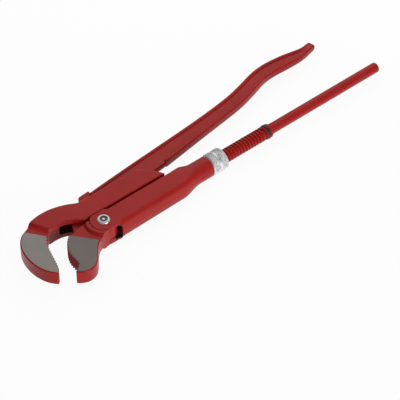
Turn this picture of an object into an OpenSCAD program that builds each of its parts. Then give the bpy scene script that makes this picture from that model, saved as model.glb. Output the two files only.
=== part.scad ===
// Swedish-pattern pipe wrench, 45 degree S-jaws, for pipes up to 1 1/2 inch.
// The tool lies flat: +X runs from the jaws to the handle ends, +Y towards the long arm, +Z up.

/* [Jaws] */
// Thickness of both jaws across their ground flanks
jaw_t = 15.5; // [12:0.5:18]
// Distance from one tooth to the next
tooth_pitch = 3.3; // [2.4:0.1:4.2]
// Depth of the teeth
tooth_depth = 1.5; // [0.8:0.1:1.8]
// Radius of the forged outer edge of the movable jaw
jaw_edge_r = 2.2; // [0.5:0.1:2.4]

/* [Long arm] */
// Thickness of the head and of the raised guide block
head_t = 21; // [19.5:0.5:25]
// Radius of the forged edges of the head
head_edge_r = 1.7; // [0.5:0.1:2.5]
// Width of the window that the jaw's tongue passes through
window_w = 10.8; // [10.6:0.1:12]
// Where the front end of the window lies, ahead of the rivet
window_front = 34.5; // [32:0.5:36]
// Where the rear end of the window lies, behind the rivet
window_rear = 62; // [60:0.5:62.5]
// Where the front end of the back slot lies, ahead of the rivet
back_slot_front = 13.5; // [13:0.5:16]
// Where the rear end of the back slot lies, behind the rivet
back_slot_rear = 73; // [72:0.5:80]
// Width of the slot through the arm's back
back_slot_w = 7.2; // [6.8:0.1:7.6]
// Depth of each side groove of the window
groove_depth = 2.1; // [1.5:0.1:2.6]
// Width of each rim of the I-beam handle
rim_w = 3.2; // [2:0.1:4.5]
// Radius of the lug that the spindle hinges on
lug_r = 7.2; // [6:0.1:7.5]
// Thickness of that lug
lug_t = 6.6; // [5:0.1:7]

/* [Movable jaw] */
// Thickness of the tongue and of the eye in the sleeve's fork
tongue_t = 9.8; // [9:0.1:10]
// Thickness of the thin end of the tongue, behind the arm
tongue_end_t = 6.3; // [5:0.1:6.4]
// Radius of the eye round the rivet
eye_r = 11; // [9:0.1:11.2]
// Radius of the guide stubs at the sides of the tongue
stub_r = 3; // [2:0.1:3.2]

/* [Sleeve] */
// Thickness of the sleeve
sleeve_t = 21; // [20:0.5:23]
// Radius of the round nose about the rivet
nose_r = 12.9; // [12:0.1:13.4]
// Height of the nose's flat above the spindle axis
nose_top = 11; // [10.4:0.1:11.2]
// Height of the long upper edge above the spindle axis
sleeve_up = 8.5; // [8:0.1:9.4]
// Depth of the lower side below the spindle axis
sleeve_down = 15.2; // [13.5:0.1:16]
// Distance from the rivet to the sleeve's rear end
sleeve_len = 126.2; // [122:0.1:130]
// Diameter of the round rear end
collar_d = 21.4; // [20.6:0.1:23]
// Gap of the fork that holds the jaw's eye
fork_gap = 10.2; // [10.1:0.1:10.6]

/* [Spindle] */
// Distance from the rivet to the end of the round handle
handle_end = 348.6; // [320:1:380]
// Diameter of the round handle
rod_d = 10.7; // [9:0.1:12]
// Outer diameter of the thread
thread_d = 14; // [13:0.1:14.2]
// Distance from the rivet to the hidden hinge pin, jaws as drawn
pin_x = 70; // [69:0.5:72]
// Diameter of the hinge pin
pin_d = 6; // [5:0.1:7]
// Distance from the rivet to the rear end of the thread
thread_end = 198.4; // [194:0.2:204]

/* [Adjusting nut] */
// Diameter over the knurl
nut_d = 22.8; // [21:0.1:25]
// Length of the knurled body
nut_len = 18; // [16:0.5:22]
// Gap between the sleeve and the nut
nut_gap = 0.5; // [0.3:0.1:1]
// Wall of the nut's neck inside the sleeve, round the thread
neck_wall = 1.6; // [1.5:0.1:1.8]
// Length of that neck
neck_len = 7.5; // [6:0.1:9]

/* [Rivet and rings] */
// Diameter of the jaw rivet
rivet_d = 8; // [6:0.1:9]
// Diameter of the rivet's heads
rivet_head_d = 12.2; // [11:0.1:14]
// Height of the rivet's heads
rivet_head_h = 1.6; // [1:0.1:2.4]
// Width of the stop ring at the end of the thread
stop_ring_w = 3.4; // [2:0.1:4]
// Outer diameter of the stop ring
stop_ring_d = 14.9; // [14.6:0.1:17]
// Wire diameter of the ring that keeps the nut on the sleeve
wire_d = 1.5; // [1:0.1:1.6]

/* [Hidden] */
$fn = 64;
red = [0.58, 0.18, 0.18];
steel = [0.55, 0.54, 0.51];
zinc = [0.82, 0.83, 0.84];
black = [0.09, 0.07, 0.07];

// Clearances between pieces that move on each other
run = 0.05; // radial running clearance of pins and bores
slip = 0.2; // side clearance of flat faces
open = 0.35; // clearance of shoulders that never carry load at rest
cut = 1; // how far a cutting shape runs past the face it cuts

neck_d = thread_d + 2 * neck_wall; // outer diameter of the nut's neck

// ---- outlines, measured from the rivet, in the plane of the tool ----
guide_y = 11.6; // underside of the arm, parallel to the spindle
block_y = 33; // upper edge of the guide block
groove_low = 22.1; // lower face of the window's side grooves
groove_high = 31; // upper face of the window's side grooves
stub_at = [-15.5, 26]; // centre of the tongue's guide stubs

// Back of the hook, from its tip round to the head
hook_back = [[-71.9, -24.4], [-76.3, -18.6], [-79.4, -12.4], [-81.4, -5.2], [-82.1, 2], [-81.8, 9],
    [-80.4, 17], [-77.3, 25], [-72.4, 31.6], [-68, 35.2], [-63.6, 37.2], [-59, 39],
    [-54.2, 40.4]];
// Gripping face of the hook: a short upper flat, the corner, then the long slanting face
hook_grip_up = [[-50.7, 18.4], [-53.8, 15.5], [-56.8, 11], [-58.8, 5.4]];
hook_grip_down = [[-58.8, 5.4], [-60.8, -1], [-63, -8.4], [-65.3, -15.4], [-67.8, -20.8], [-71.1, -24.4]];
// Underside of the head, from the hook to the guide block
head_under = [[-46.5, 22.6], [-40, 23.3], [-34.7, 23], [-29.7, 21.9], [-24.7, 19.6],
    [-19.7, 16.4], [-15.7, 13.4], [-12, 11.6]];
// Back of the head, from the guide block forwards
head_back = [[-3.5, 33.6], [-6, 34.6], [-9.7, 36.7], [-14.7, 39.2], [-21.7, 41.8],
    [-29.7, 43.8], [-37.7, 44.5], [-45.7, 44.1], [-52, 42.9]];

// Handle stations: [lower x, lower y, upper x, upper y, upper rim, web, lower rim half heights]
handle = [
    [16, 24, 15, 40.9, 5.6, 4.6, 4.6],
    [30, 24, 28, 42.3, 5.6, 4.6, 4.6],
    [66, 24, 64, 45.8, 5.4, 4.2, 4.2],
    [97, 26.9, 94, 48.8, 4.6, 3, 3],
    [99, 27.2, 96, 49, 4.6, 3, 4.5],
    [128, 31.6, 124.5, 51.5, 4.3, 2.7, 4.3],
    [158, 36.2, 155, 54.2, 4.3, 2.7, 4.3],
    [188, 40.5, 184.5, 57.7, 4.3, 2.7, 4.3],
    [210, 44.4, 205, 61, 4.3, 2.7, 4.3],
    [230, 50, 223, 65.6, 4.3, 2.7, 4.3],
    [248, 55.8, 243, 71.4, 4.3, 2.6, 4.3],
    [263, 57.6, 261, 73.8, 4.2, 2.5, 4.2],
    [280, 57, 282, 72.6, 4.1, 2.4, 4.1],
    [297, 56.8, 300, 69.5, 3.9, 2.4, 3.9],
    [309, 58.4, 307, 68.4, 3.8, 3.4, 3.8],
    [322, 61.6, 320, 70, 3.6, 3.5, 3.6]];

// Gripping face of the movable jaw, from its top corner to its lower tip
jaw_grip = [[-36.4, 6.4], [-40, 3.2], [-43.6, -1.2], [-46.6, -6.6], [-48.6, -12.4], [-49.2, -18.6],
    [-49.6, -24.4], [-51.4, -28.4], [-57.2, -32.2]];
// Lower side of the movable jaw, from its tip to the neck
jaw_low = [[-57.8, -33.4], [-54.2, -37.2], [-48.4, -39.6], [-42.4, -39.5], [-36.6, -37],
    [-31.6, -32.2], [-26.8, -26.2], [-21.4, -20], [-16, -16.2], [-9.8, -13.8]];

// ---- curves and outlines ----
function unit(v) = v / norm(v);
function left_of(v) = [-v.y, v.x];
function spline(a, b, c, d, t) =
    0.5 * (2 * b + (c - a) * t + (2 * a - 5 * b + 4 * c - d) * t * t
    + (3 * b - a - 3 * c + d) * t * t * t);
// A smooth curve through the points p, n steps to each span, with its last point
function curve(p, n) = concat([for (i = [0:len(p) - 2], k = [0:n - 1])
    spline(p[max(i - 1, 0)], p[i], p[i + 1], p[min(i + 2, len(p) - 1)], k / n)],
    [p[len(p) - 1]]);
// Running length along a polyline
function run_length(p) = [for (i = 0, s = 0; i < len(p);
    s = s + (i + 1 < len(p) ? norm(p[i + 1] - p[i]) : 0), i = i + 1) s];
// The span of a polyline that holds the length s
function span_at(l, s) = [for (i = [0:len(l) - 2]) if (s <= l[i + 1] + 0.001) i][0];
// Saw teeth along a curve; the tips lie on it and the roots to its left by depth
function teeth(p, pitch, depth) =
    let (l = run_length(p), total = l[len(l) - 1], n = round(total / pitch))
    [for (k = [0:n - 1], u = [0, 0.3])
        let (s = (k + u) * total / n, i = span_at(l, s), t = unit(p[i + 1] - p[i]))
        p[i] + t * (s - l[i]) + left_of(t) * (u > 0 ? depth : 0)];
// The direction and length in which a corner moves as its outline shrinks by one
function mitre(a, b, c) = let (m = left_of(unit(b - a)), n = left_of(unit(c - b)))
    (m + n) / max(1 + m * n, 0.5);

// A skin over rings of equal size, each counterclockwise as seen from the last one's side
module loft(rings) {
    n = len(rings[0]);
    m = len(rings);
    sides = [for (k = [0:m - 2], i = [0:n - 1])
        let (j = (i + 1) % n, a = k * n + i, b = a + n, c = (k + 1) * n + j, d = k * n + j)
        each [[a, b, c], [a, c, d]]];
    polyhedron([for (r = rings, q = r) q], concat([[for (i = [0:n - 1]) i]], sides,
        [[for (i = [n - 1:-1:0]) (m - 1) * n + i]]), convexity = 8);
}

// A forged body: a closed counterclockwise outline, rounded towards both faces.
// Each outline point is [x, y, share of the rounding it takes].
module forging(outline, half, edge_r, steps = 2, draft = 0.25) {
    n = len(outline);
    flat = [for (p = outline) [p.x, p.y]];
    inward = [for (i = [0:n - 1]) mitre(flat[(i + n - 1) % n], flat[i], flat[(i + 1) % n])];
    up = [for (k = [0:steps]) let (a = 90 * k / steps)
        [half - edge_r + edge_r * sin(a), draft + edge_r * (1 - cos(a))]];
    layers = concat([for (k = [steps:-1:0]) [-up[k][0], up[k][1]]], [[0, 0]], up);
    loft([for (s = layers) [for (i = [0:n - 1])
        let (q = flat[i] + inward[i] * s[1] * outline[i].z) [q.x, q.y, s[0]]]]);
}
// Gives every point of a polyline its share of the rounding
function shared(p, w) = [for (q = p) [q.x, q.y, w]];

// ---- the long arm ----
// One section of the handle between its lower and upper edge points
function handle_section(s) =
    let (low = [s[0], s[1]], high = [s[2], s[3]], w = norm(high - low), across = unit(high - low),
        rim = min(rim_w, w * 0.26), edge = min(1.3, w * 0.12), fall = min(1, w * 0.08),
        top = [[0, 0], [0.2 * edge, s[6] - 1.2], [0.45 * edge, s[6] - 0.45], [edge, s[6]],
            [rim * 0.85, s[6]], [rim, s[6] * 0.75 + s[5] * 0.25],
            [rim + fall, s[6] * 0.2 + s[5] * 0.8], [rim + 2 * fall, s[5]],
            [w - rim - 2 * fall, s[5]], [w - rim - fall, s[4] * 0.2 + s[5] * 0.8],
            [w - rim, s[4] * 0.75 + s[5] * 0.25], [w - rim * 0.85, s[4]],
            [w - edge, s[4]], [w - 0.45 * edge, s[4] - 0.45], [w - 0.2 * edge, s[4] - 1.2], [w, 0]],
        ring = concat([for (i = [len(top) - 1:-1:0]) top[i]],
            [for (i = [1:len(top) - 2]) [top[i].x, -top[i].y]]))
    [for (q = ring) let (c = low + across * q.x) [c.x, c.y, q.y]];

module handle_beam() {
    straight = [for (i = [0:3]) handle[i]];
    bent = curve([for (i = [4:len(handle) - 1]) handle[i]], 3);
    loft([for (s = concat(straight, bent)) handle_section(s)]);
}

function reversed(p) = [for (i = [len(p) - 1:-1:0]) p[i]];
// The hook is ground flat on both flanks
module hook() linear_extrude(jaw_t, center = true) polygon(concat(
    [[-41, 26], [-42.5, 40], [-49, 41]],
    curve(reversed(hook_back), 3),
    teeth(curve(reversed(hook_grip_down), 4), tooth_pitch, tooth_depth),
    teeth(curve(reversed(hook_grip_up), 4), tooth_pitch, tooth_depth),
    [[-49.2, 20.6], [-45.6, 24.6]]));

module head_and_guide_block() {
    forging(concat(
        shared(curve(head_under, 3), 1),
        shared([[60, guide_y], [82.4, guide_y]], 0.5),
        [[80.4, 15.8, 0.8], [78.4, 19.2, 1.3]],
        shared(curve([[76.3, 22.8], [72.8, 27.6], [69.4, 30.8], [65, 32.6], [60, block_y]], 2), 1.5),
        shared(curve(head_back, 3), 1),
        [[-55.4, 41.6, 1.5]], shared([[-54.4, 37.6], [-52, 31.8], [-49.6, 27]], 2.2),
        [[-48, 23.8, 1]]),
        head_t / 2, head_edge_r);
}

// The window: open below, grooved at both sides for the guide stubs, slotted through the back
module window() {
    length = window_front + window_rear;
    translate([-window_front, 0, 0]) {
        translate([0, groove_high + 0.6, 0]) rotate([90, 0, 0])
            linear_extrude(groove_high - guide_y + 2 * cut) rounded_slot(length, window_w);
        translate([8.5, groove_low, -window_w / 2 - groove_depth])
            cube([length - 8.5, groove_high - groove_low, window_w + 2 * groove_depth]);
    }
    translate([-back_slot_front, groove_high - cut, -back_slot_w / 2])
        cube([back_slot_front + back_slot_rear, 20, back_slot_w]);
}
// A slot outline from x = 0 to its length, with rounded corners
module rounded_slot(length, width, r = 2.2) {
    translate([r, -width / 2]) square([length - 2 * r, width]);
    translate([0, -width / 2 + r]) square([length, width - 2 * r]);
    for (x = [r, length - r], y = [-1, 1]) translate([x, y * (width / 2 - r)]) circle(r);
}

// The lug hangs between the spindle's tines and spreads only above them
module spindle_lug() {
    spread_y = thread_d / 2 + 2 * open;
    linear_extrude(lug_t, center = true) {
        translate([pin_x, 0]) circle(lug_r);
        polygon([[pin_x - lug_r, 0], [pin_x + lug_r, 0], [pin_x + lug_r, spread_y],
            [pin_x + lug_r + 4, guide_y + cut], [pin_x - lug_r, guide_y + cut]]);
    }
}

module long_arm() color(red) difference() {
    union() {
        hook();
        head_and_guide_block();
        handle_beam();
        spindle_lug();
    }
    window();
    translate([pin_x, 0, 0]) cylinder(h = lug_t + 2 * cut, d = pin_d + 2 * run, center = true);
}

// ---- the movable jaw ----
// The movable jaw: its toothed side is sharp, its lower side forged round
module jaw_body() forging(concat(
    shared(teeth(curve(jaw_grip, 4), tooth_pitch, tooth_depth), 0), shared(curve(jaw_low, 3), 1),
    shared([[-9, -3], [-10.5, 6], [-14, 9.2], [-20, 8.9], [-27, 8], [-33.4, 5.9]], 0)),
    jaw_t / 2, jaw_edge_r);
// The collar that half surrounds the sleeve's nose, as thick as the head
module jaw_collar() {
    forging(concat(
        [[-16.4, 9.6, 1]], shared([[-18.8, 8.6], [-19.8, 4], [-19.2, -2], [-17.2, -7.4]], 1.6),
        [[-14.2, -11.4, 1.2], [-10.6, -12.9, 0.6]],
        shared([[-6.5, -9.5], [-8.5, -1], [-8, 7.4]], 0)),
        head_t / 2, head_edge_r);
}
module tongue() {
    front = curve([[-26, 6], [-26.2, 11], [-24.8, 15], [-22.3, 20], [-20.4, 24], [-18.6, 28], [-17, 29.8]], 2);
    linear_extrude(tongue_t, center = true)
        polygon(concat([[-10, -2], [-8, 8], [-7.6, 20], [-6, 26], [-3.6, 29.6], [-6, 29.8]],
            [for (i = [len(front) - 1:-1:0]) front[i]]));
    linear_extrude(tongue_end_t, center = true)
        polygon(concat([[-8, 20], [-3.4, 27.2], [6, 29.6], [15.2, 36.6], [16.9, 44], [16.1, 45],
            [4.9, 44.2], [3.2, 43]], [[-1, 34.6], [-9, 30.2], [-18, 30.2], [-20.4, 24]]));
    translate([stub_at.x, stub_at.y, 0])
        cylinder(h = window_w + 2 * groove_depth - 2 * slip, r = stub_r, center = true);
}
module movable_jaw() color(red) difference() {
    union() {
        difference() {
            union() {
                jaw_body();
                jaw_collar();
            }
            cylinder(h = head_t + 2 * cut, r = nose_r + open, center = true);
        }
        cylinder(h = tongue_t, r = eye_r, center = true);
        linear_extrude(tongue_t, center = true)
            polygon([[-20, 6], [-16, -12], [-2, -eye_r], [0, 0], [-2, eye_r], [-10, 10]]);
        tongue();
    }
    cylinder(h = head_t, d = rivet_d + 2 * run, center = true);
}

// ---- the sleeve ----
sleeve_corner_r = 6; // radius of its two lower edges
taper_start = 86; // where the body starts to narrow
collar_start = 108; // where the round rear end starts
body_floor = 3.4; // wall of the lower side
channel_w = thread_d + 0.8; // room for the thread between the cheeks
bore_start = 95; // front end of the rear bore

// One ring of the sleeve's skin: blend 0 is the square forging, blend 1 the round rear end
function sleeve_ring(x, blend, down) =
    let (h = sleeve_t / 2, c = sleeve_corner_r, r = collar_d / 2 - 0.15, top = nose_top + 2,
        half = [[top, 0, 0], [top, 0.55 * h, 24], [top, h, 45], [0, h, 82], [c - down, h, 112],
            [c * 0.5 - down, h - c * 0.13, 126], [c * 0.13 - down, h - c * 0.5, 142],
            [-down, h - c, 158], [-down - 0.25, 0, 180]],
        all = concat(half, [for (i = [len(half) - 2:-1:1]) [half[i].x, -half[i].y, -half[i].z]]))
    [for (q = all) concat([x], [q.x, q.y] * (1 - blend) + r * [cos(q.z), sin(q.z)] * blend)];

module sleeve_body() {
    taper = collar_start - taper_start;
    rings = concat([sleeve_ring(-nose_r - 8, 1, sleeve_down), sleeve_ring(-nose_r - cut, 0, sleeve_down),
        sleeve_ring(taper_start, 0, sleeve_down - 1.4)],
        [for (k = [1:4]) let (u = k / 4)
            sleeve_ring(taper_start + taper * u, u * u * (3 - 2 * u), sleeve_down - 1.4)],
        [sleeve_ring(collar_start + 2, 1, sleeve_down)]);
    difference() {
        loft(rings);
        // The round nose, its flat, and the step down to the long upper edge
        linear_extrude(2 * sleeve_t, center = true) difference() {
            translate([-30, -30]) square([collar_start + 30, 60]);
            intersection() {
                circle(nose_r);
                translate([-nose_r, -nose_r]) square([2 * nose_r, nose_r + nose_top]);
            }
            polygon([[0, -30], [0, nose_top], [7.8, nose_top], [11.4, sleeve_up], [taper_start, sleeve_up],
                [collar_start - 5, collar_d / 2 - 0.6], [collar_start + 1, collar_d / 2],
                [collar_start + 1, -30]]);
        }
    }
    translate([collar_start - 1, 0, 0]) rotate([0, 90, 0])
        cylinder(h = sleeve_len - collar_start + 1, d = collar_d);
}
module sleeve() color(red) difference() {
    sleeve_body();
    // Fork for the jaw's eye, open in front and at both sides
    translate([-30, -30, -fork_gap / 2]) cube([40, 60, fork_gap]);
    translate([-30, -sleeve_down + body_floor, -fork_gap / 2]) cube([60, 60, fork_gap]);
    // Channel for the hinge, open towards the arm
    translate([15, -sleeve_down + body_floor + 1.4, -channel_w / 2])
        cube([bore_start - 15, 40, channel_w]);
    // Bore for the thread, and the seat of the nut's neck
    translate([bore_start - cut, 0, 0]) rotate([0, 90, 0])
        cylinder(h = sleeve_len, d = thread_d + 2 * slip);
    translate([sleeve_len - neck_len - 0.4, 0, 0]) rotate([0, 90, 0])
        cylinder(h = neck_len + cut, d = neck_d + 2 * slip);
    translate([wire_x, 0, 0]) rotate([0, 90, 0])
        cylinder(h = wire_d, d = neck_d + slip + wire_d, center = true);
    cylinder(h = 2 * sleeve_t, d = rivet_d, center = true);
}
wire_x = sleeve_len - 3.4; // where the snap ring sits

// ---- the spindle ----
tine_gap = lug_t + 2 * slip;
module spindle_rod() color(red) {
    shoulder = thread_end + stop_ring_w;
    difference() {
        rotate([0, 90, 0]) rotate_extrude() polygon([[0, pin_x], [thread_d / 2, pin_x],
            [thread_d / 2, thread_end], [stop_seat_r, thread_end], [stop_seat_r, shoulder],
            [thread_d / 2 + 0.2, shoulder], [thread_d / 2 + 0.2, shoulder + 2],
            [rod_d / 2, shoulder + 5], [rod_d / 2, handle_end - 1], [rod_d / 2 - 1, handle_end],
            [0, handle_end]]);
        translate([pin_x - 20, -20, -tine_gap / 2]) cube([20 + lug_r + 1.2, 40, tine_gap]);
        translate([pin_x, 0, 0]) cylinder(h = 3 * thread_d, d = pin_d, center = true);
    }
    // The eye's two round ends
    intersection() {
        translate([pin_x, 0, 0]) difference() {
            cylinder(h = thread_d, r = thread_d / 2, center = true);
            cylinder(h = 3 * thread_d, d = pin_d, center = true);
            cube([60, 60, tine_gap], center = true);
        }
        translate([pin_x - 20, 0, 0]) rotate([0, 90, 0]) cylinder(h = 20.01, r = thread_d / 2);
    }
}
stop_seat_r = thread_d / 2 - 0.9; // seat of the stop ring

module arm_pin() color(steel) translate([pin_x, 0, 0])
    cylinder(h = thread_d - 1.4, d = pin_d, center = true);

module stop_ring() color(black) translate([thread_end, 0, 0]) rotate([0, 90, 0]) rotate_extrude()
    polygon([[stop_seat_r, 0], [stop_ring_d / 2 - 0.6, 0], [stop_ring_d / 2, 0.6],
        [stop_ring_d / 2, stop_ring_w - 0.6], [stop_ring_d / 2 - 0.6, stop_ring_w],
        [stop_seat_r, stop_ring_w]]);

// ---- the adjusting nut and its snap ring ----
nut_x = sleeve_len + nut_gap;
module adjusting_nut() color(zinc) {
    r = nut_d / 2;
    mid = nut_len / 2;
    translate([nut_x, 0, 0]) rotate([0, 90, 0]) rotate_extrude() polygon([
        [thread_d / 2 + run, -neck_len], [neck_d / 2, -neck_len],
        [neck_d / 2, wire_x - nut_x - wire_d / 2], [neck_d / 2 - wire_d / 2, wire_x - nut_x - wire_d / 2],
        [neck_d / 2 - wire_d / 2, wire_x - nut_x + wire_d / 2], [neck_d / 2, wire_x - nut_x + wire_d / 2],
        [neck_d / 2, 0], [r - 1.4, 0], [r, 1.4], [r, mid - 1.2], [r - 0.8, mid - 0.7], [r - 0.8, mid + 0.7],
        [r, mid + 1.2], [r, nut_len - 1.8], [r - 1.8, nut_len], [thread_d / 2 + run, nut_len]]);
}
module nut_snap_ring() color(steel) translate([wire_x, 0, 0]) rotate([0, 90, 0]) rotate_extrude()
    translate([(neck_d + slip) / 2, 0]) circle(d = wire_d - run, $fn = 24);

// ---- the rivet ----
module jaw_rivet() color(zinc) {
    face = sleeve_t / 2;
    r = rivet_head_d / 2;
    rotate_extrude() polygon([[0, -face - rivet_head_h], [r - 1.4, -face - rivet_head_h], [r, -face - 0.6],
        [r, -face], [rivet_d / 2, -face], [rivet_d / 2, face], [r, face], [r, face + 0.5],
        [r - 0.5, face + 1.2], [r - 1.2, face + rivet_head_h], [r - 2, face + rivet_head_h],
        [r - 2.9, face + 0.9], [1.6, face + 0.5], [0.9, face + 1], [0, face + 1.1]]);
}

// ---- where the tool lies: the middle of its footprint, on the bench ----
lowest = max(sleeve_t / 2 + rivet_head_h, nut_d / 2);
// How far the hook, the movable jaw and the long arm's handle reach from the rivet
hook_reach = 82.1;
jaw_reach = 39.8;
arm_reach = 73.8;
footprint = [(handle_end - hook_reach) / 2, (arm_reach - jaw_reach) / 2];
module placed() translate([-footprint.x, -footprint.y, lowest]) children();

placed() long_arm();
placed() movable_jaw();
placed() sleeve();
placed() spindle_rod();
placed() adjusting_nut();
placed() nut_snap_ring();
placed() stop_ring();
placed() jaw_rivet();
placed() arm_pin();
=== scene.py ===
# %% [markdown]
# # A Swedish-pattern pipe wrench
# The wrench is two drop forgings, a forked sleeve, and a round handle with a thread on it.
# A knurled nut on the thread pushes the sleeve, and with it the smaller jaw, towards the hook.
# The CAD model already has every piece in its place, so this notebook asks it where things are
# and gives each piece the edges, the thread, the knurl and the finishes of the real tool.

# %% Load the frame
import math

import bmesh
import bpy
from mathutils import Matrix, Vector


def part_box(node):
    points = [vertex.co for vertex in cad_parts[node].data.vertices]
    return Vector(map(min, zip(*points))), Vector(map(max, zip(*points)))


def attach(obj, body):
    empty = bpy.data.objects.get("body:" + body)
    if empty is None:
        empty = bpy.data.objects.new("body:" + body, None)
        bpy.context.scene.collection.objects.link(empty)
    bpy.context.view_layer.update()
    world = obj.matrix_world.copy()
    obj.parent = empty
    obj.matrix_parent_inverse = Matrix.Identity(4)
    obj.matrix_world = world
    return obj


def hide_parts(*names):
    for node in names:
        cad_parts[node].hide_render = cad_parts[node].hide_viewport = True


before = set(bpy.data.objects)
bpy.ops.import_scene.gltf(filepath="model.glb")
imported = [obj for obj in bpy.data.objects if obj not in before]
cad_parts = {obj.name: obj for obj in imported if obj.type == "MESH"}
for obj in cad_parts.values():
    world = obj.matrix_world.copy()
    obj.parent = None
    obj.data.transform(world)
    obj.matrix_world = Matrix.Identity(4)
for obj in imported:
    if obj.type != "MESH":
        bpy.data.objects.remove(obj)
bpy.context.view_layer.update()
MM = 0.001

# %% [markdown]
# The rivet is the natural middle of this tool: the jaw turns on it, and the spindle's axis runs
# through it. Every size below is in millimetres from the rivet, x towards the handle ends,
# y towards the long arm and z up. One function turns that into Blender's metres, and another one
# turns it back.

# %% Places measured from the rivet
rivet_low, rivet_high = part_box("jaw_rivet")
RIVET = (rivet_low + rivet_high) / 2


def at(x, y, z=0.0):
    return RIVET + Vector((x, y, z)) * MM


def mm(place):
    """The way back: a place in Blender's metres as millimetres from the rivet."""
    return (place - RIVET) / MM


def reach(node):
    """A node's lowest and highest corners in millimetres from the rivet."""
    low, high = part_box(node)
    return mm(low), mm(high)


NUT_LOW, NUT_HIGH = reach("adjusting_nut")
RING_LOW, RING_HIGH = reach("stop_ring")
ROD_HIGH = reach("spindle_rod")[1]
PIN_LOW, PIN_HIGH = reach("arm_pin")
print(f"thread ends at {RING_LOW.x:.1f} mm, handle at {ROD_HIGH.x:.1f} mm")

# %% [markdown]
# A shader is easier to read as arithmetic than as a list of links. This small class wraps a
# socket: adding, subtracting or multiplying two of them puts the Math node in the tree.

# %% Sockets that do arithmetic
class Value:
    def __init__(self, tree, socket):
        self.tree, self.socket = tree, socket

    def maths(self, operation, *others, clamp=False):
        node = self.tree.nodes.new("ShaderNodeMath")
        node.operation, node.use_clamp = operation, clamp
        for slot, term in zip(node.inputs, (self, *others)):
            if isinstance(term, Value):
                self.tree.links.new(term.socket, slot)
            else:
                slot.default_value = term
        return Value(self.tree, node.outputs[0])

    def __add__(self, other):
        return self.maths("ADD", other)

    def __mul__(self, other):
        return self.maths("MULTIPLY", other)

    def __sub__(self, other):
        return self.maths("SUBTRACT", other)

    def __rsub__(self, other):
        return (self * -1.0) + other

    __radd__, __rmul__ = __add__, __mul__

    def between(self, low, high):
        """0 at low, 1 at high, a straight ramp between."""
        return ((self - low) * (1.0 / (high - low))).maths("ADD", 0.0, clamp=True)


# %% [markdown]
# Every other node comes from one method, `node`, which takes the node's type, its settings, and the
# values or links of its inputs. The paints and the sky both use it.

# %% A tree of nodes
class Nodes:
    def __init__(self, tree):
        self.tree = tree

    def node(self, kind, settings=None, inputs=None, output=0):
        made = self.tree.nodes.new(kind)
        for key, value in (settings or {}).items():
            setattr(made, key, value)
        for key, value in (inputs or {}).items():
            if isinstance(value, Value):
                self.tree.links.new(value.socket, made.inputs[key])
            else:
                made.inputs[key].default_value = value
        return Value(self.tree, made.outputs[output])

    def ray(self, kind):
        """1 for rays of one kind, such as Camera, and 0 for all others."""
        return self.node("ShaderNodeLightPath", output=f"Is {kind} Ray")


# %% [markdown]
# A finish is one material. Its constants sit on the Principled shader's own sockets, and only
# what changes over the surface is linked.

# %% A finish
class Finish(Nodes):
    def __init__(self, name, **constants):
        self.material = bpy.data.materials.new(name)
        self.material.use_nodes = True
        super().__init__(self.material.node_tree)
        self.shader = self.tree.nodes["Principled BSDF"]
        for socket, value in constants.items():
            self.shader.inputs[socket.replace("_", " ")].default_value = value

    def feed(self, socket, value):
        self.tree.links.new(value.socket, self.shader.inputs[socket])

    def place(self, scale=(1, 1, 1), turn=0.0):
        """Object coordinates about the rivet, in millimetres, turned about Z and stretched."""
        here = self.node("ShaderNodeTexCoord", output="Object")
        moved = self.node("ShaderNodeVectorMath", {"operation": "SUBTRACT"},
                          {0: here, 1: tuple(RIVET)})
        return self.node("ShaderNodeMapping", {"vector_type": "POINT"},
                         {"Vector": moved, "Rotation": (0, 0, math.radians(turn)),
                          "Scale": tuple(s / MM for s in scale)})

    def noise(self, where, scale, detail=3.0):
        return self.node("ShaderNodeTexNoise", None,
                         {"Vector": where, "Scale": scale, "Detail": detail})

    def blend(self, factor, first, second):
        """A mix of two colours: a Mix node takes them at sockets 6 and 7 and gives one at 2."""
        return self.node("ShaderNodeMix", {"data_type": "RGBA"},
                         {0: factor, 6: (*first, 1), 7: (*second, 1)}, output=2)

    def bump(self, height, distance, strength):
        """Dents of a height given in millimetres."""
        return self.node("ShaderNodeBump", None,
                         {"Height": height, "Distance": distance * MM, "Strength": strength})


# %% [markdown]
# The forgings are tumbled, then sprayed a deep signal red. The paint is satin: it follows the
# slightly pebbled skin of the forging, so the highlights break up a little. A fine noise makes
# the pebbles, and a broad one lets the red drift a touch lighter and darker, as sprayed paint does.

# %% Red paint
def red_paint():
    paint = Finish("signal_red", Metallic=0.0, Specular_IOR_Level=0.21)
    where = paint.place()
    broad = paint.noise(where, 0.035, 2.0).between(0.35, 0.65)
    paint.feed("Base Color", paint.blend(broad, (0.325, 0.012, 0.0105), (0.360, 0.0135, 0.012)))
    pebbles = paint.noise(where, 0.55)
    paint.feed("Roughness", pebbles.between(0.3, 0.7) * 0.07 + 0.285)
    paint.feed("Normal", paint.bump(pebbles, 0.06, 0.6))
    return paint.material


# %% [markdown]
# Both jaws are ground flat on their flanks after painting, which bares the steel. A belt leaves
# fine parallel lines, made here by a noise that is stretched 150 times along the grind. A darker
# copy of the same steel paints shade on the movable jaw's flank and in the rivet's dish.

# %% Ground steel
def ground_steel(name, dark, light):
    steel = Finish(name, Metallic=0.7)
    lines = steel.noise(steel.place((0.02, 3.0, 1.0), turn=-36), 1.0, 4.0)
    broad = steel.noise(steel.place(), 0.05, 2.0).between(0.3, 0.7)
    shade = lines.between(0.25, 0.75) * 0.7 + broad * 0.3
    steel.feed("Base Color", steel.blend(shade, dark, light))
    steel.feed("Roughness", lines.between(0.3, 0.7) * 0.16 + 0.36)
    steel.feed("Normal", steel.bump(lines, 0.02, 0.5))
    return steel.material
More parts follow.
